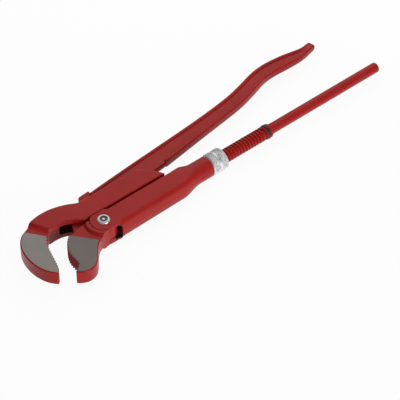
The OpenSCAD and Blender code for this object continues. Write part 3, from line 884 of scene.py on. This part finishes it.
def spindle():
    start, shoulder, end = THREAD_START - 2, RING_HIGH.x, ROD_HIGH.x
    thread = helix(THREAD_START, RING_LOW.x - PITCH)
    core = turned([(start, 0), (start, ROOT - 0.4), (shoulder - 5.6, ROOT - 0.4),
                   (shoulder - 4.6, CREST), (RING_LOW.x, CREST), (RING_LOW.x, CREST - 0.9),
                   (shoulder, CREST - 0.9), (shoulder, CREST + 0.1), (shoulder + 0.3, CREST + 0.2),
                   (shoulder + 1.8, CREST + 0.2), (shoulder + 5, HANDLE), (end - 1.2, HANDLE),
                   (end - 0.5, 5.05), (end - 0.1, 4.4), (end, 3.6), (end, 0)])
    # The smooth eye that hinges on the arm comes from the CAD, cut off where the thread starts
    eye = taken_over("spindle_rod")
    bmesh.ops.bisect_plane(eye, geom=eye.verts[:] + eye.edges[:] + eye.faces[:], dist=0.001 * MM,
                           plane_co=at(THREAD_START - 0.4, 0), plane_no=(1, 0, 0), clear_outer=True)
    bmesh.ops.holes_fill(eye, edges=[e for e in eye.edges if e.is_boundary])
    finished("threaded_handle", joined(core, thread, eye), "spindle", (RED,),
             ["spindle_rod"], smooth=32)


spindle()

# %% [markdown]
# The nut is knurled in two bands with a plain groove between them. A knurl is a diamond pattern of
# little pyramids, so one pyramid is made and set round the nut, each row half a step on.

# %% The knurled nut
def knurl(start, end, radius, around=40, height=0.62):
    """A band of pyramids on a cylinder of this radius, so many of them around it."""
    bm = bmesh.new()
    step = math.tau / around
    wide = radius * step / 2
    rows = max(2, round((end - start) / wide))
    long = (end - start) / rows
    for row in range(rows - 1):
        for k in range(around):
            made = bmesh.ops.create_cone(bm, segments=4, cap_ends=True, radius1=1.0, radius2=0.12,
                                         depth=1.0)["verts"]
            middle = Vector((start + long * (row + 1), 0, radius + height / 2)) * MM
            place = (Matrix.Translation(RIVET)
                     @ Matrix.Rotation(step * (k + (row % 2) / 2), 4, "X")
                     @ Matrix.Translation(middle)
                     @ Matrix.Diagonal((long * MM, wide * MM, height * MM, 1)))
            bmesh.ops.transform(bm, matrix=place, verts=made)
    return bm


def adjusting_nut():
    """The profile runs once round the ring's section: bore, neck, two bands, and back."""
    x0, x1, r = NUT_HIGH.x - 18.0, NUT_HIGH.x, NUT_HIGH.z
    mid = (x0 + x1) / 2
    bore, neck, flat = CREST + 0.05, 8.6, r - 0.6
    body = turned([(NUT_LOW.x, bore), (NUT_LOW.x, neck), (x0, neck), (x0, r - 1.5),
                   (x0 + 0.4, r - 1.1), (x0 + 1.2, flat), (mid - 1.3, flat), (mid - 0.9, r - 1.0),
                   (mid + 0.9, r - 1.0), (mid + 1.3, flat), (x1 - 1.4, flat), (x1 - 0.5, r - 1.2),
                   (x1, r - 1.9), (x1, CREST + 0.6), (x1 - 0.6, bore), (NUT_LOW.x, bore)], 96)
    bands = joined(knurl(x0 + 0.7, mid - 1.2, flat - 0.1), knurl(mid + 1.2, x1 - 0.9, flat - 0.1))
    finished("knurled_nut", joined(body, bands), "nut", (ZINC,), ["adjusting_nut"],
             smooth=25)


adjusting_nut()

# %% [markdown]
# The rivet's head is peened: a flat bright rim round a shallow dished middle with a small raised
# dot, which the riveting tool leaves. The dish gets the darker copy of the ground steel, which
# paints the shade in it. The rivet is turned like the nut, only about an axis that stands upright.

# %% The rivet
RIVET_HEAD = 6.1
RIVET_SHANK = 4.0


def jaw_rivet():
    top = mm(rivet_high).z
    face = top - 1.6
    bm = turned([(0, face + 1.3), (0.9, face + 1.25), (1.4, face + 1.05), (1.8, face + 0.55),
                 (2.6, face + 0.45), (3.3, face + 0.8), (3.9, face + 1.5), (4.6, face + 1.6),
                 (5.3, face + 1.4), (5.8, face + 0.9), (RIVET_HEAD, face + 0.4),
                 (RIVET_HEAD, face - 0.05), (RIVET_SHANK, face - 0.05), (RIVET_SHANK, -face + 0.05),
                 (RIVET_HEAD, -face + 0.05), (RIVET_HEAD, -face - 0.5),
                 (RIVET_HEAD - 1.0, -face - 1.3), (RIVET_HEAD - 2.4, -top), (0, -top)],
                axis=UPRIGHT)
    # Painted shade: the dish takes the darker copy of the ground steel
    for f in bm.faces:
        middle = mm(f.calc_center_median())
        if middle.z > face and 1.5 < middle.xy.length < 3.6:
            f.material_index = 1
    finished("peened_rivet", bm, "slider", (ZINC, GROUND_SHADED), ["jaw_rivet"],
             smooth=50)


jaw_rivet()

# %% [markdown]
# The stop ring, the snap ring and the hinge pin are plain turned pieces, and the CAD has them
# right. They keep their meshes and only get their finishes.

# %% The small rings and the pin
for node, material in (("stop_ring", BLACK), ("nut_snap_ring", STEEL), ("arm_pin", STEEL)):
    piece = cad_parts[node]
    piece.data.materials.clear()
    piece.data.materials.append(material)
print("kept from the CAD: stop_ring, nut_snap_ring, arm_pin")

# %% [markdown]
# The tool lies on a plain pale bench under two large soft lamps, one high behind it and one low in
# front. The pale sky stands for the background and fills the shadows evenly.

# %% Bench, sky and lamps
AMBIENT = 0.38                  # the sky's even light on matt surfaces
GLOW_SHARE = 0.93               # how much of the bench is plain white; the rest keeps the shadow
SCREEN_AT = (0.50, 0.59, 0.64)  # where the pale screen stands, behind the bench


def bench():
    """A matt bench that looks white. Only the camera and mirroring surfaces see it glow, so it
    adds no light to the tool."""
    bpy.ops.mesh.primitive_plane_add(size=6, location=(0, 0, -0.0002))
    floor = bpy.context.object
    floor.name = "bench"
    white = Finish("bench_white", Roughness=0.9, Base_Color=(0.93, 0.93, 0.93, 1))
    seen = white.ray("Camera") + white.ray("Glossy") + white.ray("Transmission")
    glow = white.node("ShaderNodeEmission", None, {"Strength": 1.0})
    matt = Value(white.tree, white.shader.outputs[0])
    mix = white.node("ShaderNodeMixShader", None, {0: seen * GLOW_SHARE, 1: matt, 2: glow})
    white.tree.links.new(mix.socket, white.tree.nodes["Material Output"].inputs[0])
    floor.data.materials.append(white.material)


def sky():
    """Even light for matt surfaces; glossy ones see a pale screen and a dark ceiling."""
    world = bpy.data.worlds.new("studio")
    bpy.context.scene.world = world
    world.use_nodes = True
    nodes = Nodes(world.node_tree)
    where = nodes.node("ShaderNodeTexCoord", output="Generated")
    lobe = nodes.node("ShaderNodeVectorMath", {"operation": "DOT_PRODUCT"},
                      {0: where, 1: tuple(Vector(SCREEN_AT).normalized())}, output="Value")
    screen = lobe.maths("MAXIMUM", 0.0).maths("POWER", 8.0) * 1.1 + 0.06
    seen = nodes.ray("Camera").maths("MAXIMUM", nodes.ray("Transmission"))
    strength = seen * (1 - AMBIENT) + nodes.ray("Glossy") * (screen - AMBIENT) + AMBIENT
    background = world.node_tree.nodes["Background"]
    background.inputs["Color"].default_value = (1, 1, 1, 1)
    world.node_tree.links.new(strength.socket, background.inputs["Strength"])


def lamp(name, towards, distance, size, share, mirrored=True):
    """A square soft lamp that faces the middle of the tool; share is the light it gives a matt
    surface that faces it."""
    data = bpy.data.lights.new(name, "AREA")
    data.size, data.energy = size, share * (math.pi * distance) ** 2
    made = bpy.data.objects.new(name, data)
    bpy.context.collection.objects.link(made)
    direction = Vector(towards).normalized()
    made.location = direction * distance
    made.rotation_mode = "QUATERNION"
    made.rotation_quaternion = direction.to_track_quat("Z", "Y")
    made.visible_glossy = mirrored


bench()
sky()
lamp("side_softbox", (-0.05, -1.0, 0.06), 1.3, 0.8, 0.95)
lamp("far_light", (0.52, 0.5, 0.72), 0.9, 1.1, 0.72, mirrored=False)

# %% [markdown]
# The camera stands high over the jaws with a long lens, so that the tool runs away to the upper
# right with hardly any perspective.

# %% Camera
AIM = at(91.2, -29.95, 0)
AZIMUTH, ELEVATION, DISTANCE = math.radians(-40.3), math.radians(45), 1.878
camera_data = bpy.data.cameras.new("camera")
camera_data.lens, camera_data.sensor_width = 180, 36
camera = bpy.data.objects.new("camera", camera_data)
bpy.context.collection.objects.link(camera)
back = Vector((math.sin(AZIMUTH) * math.cos(ELEVATION), -math.cos(AZIMUTH) * math.cos(ELEVATION),
               math.sin(ELEVATION)))
camera.location = AIM + back * DISTANCE
camera.rotation_mode = "QUATERNION"
camera.rotation_quaternion = back.to_track_quat("Z", "Y")
camera_data.clip_start, camera_data.clip_end = 0.05, 20
bpy.context.scene.camera = camera
bpy.context.scene.view_settings.view_transform = "Standard"
print("camera at", [round(v, 3) for v in camera.location])
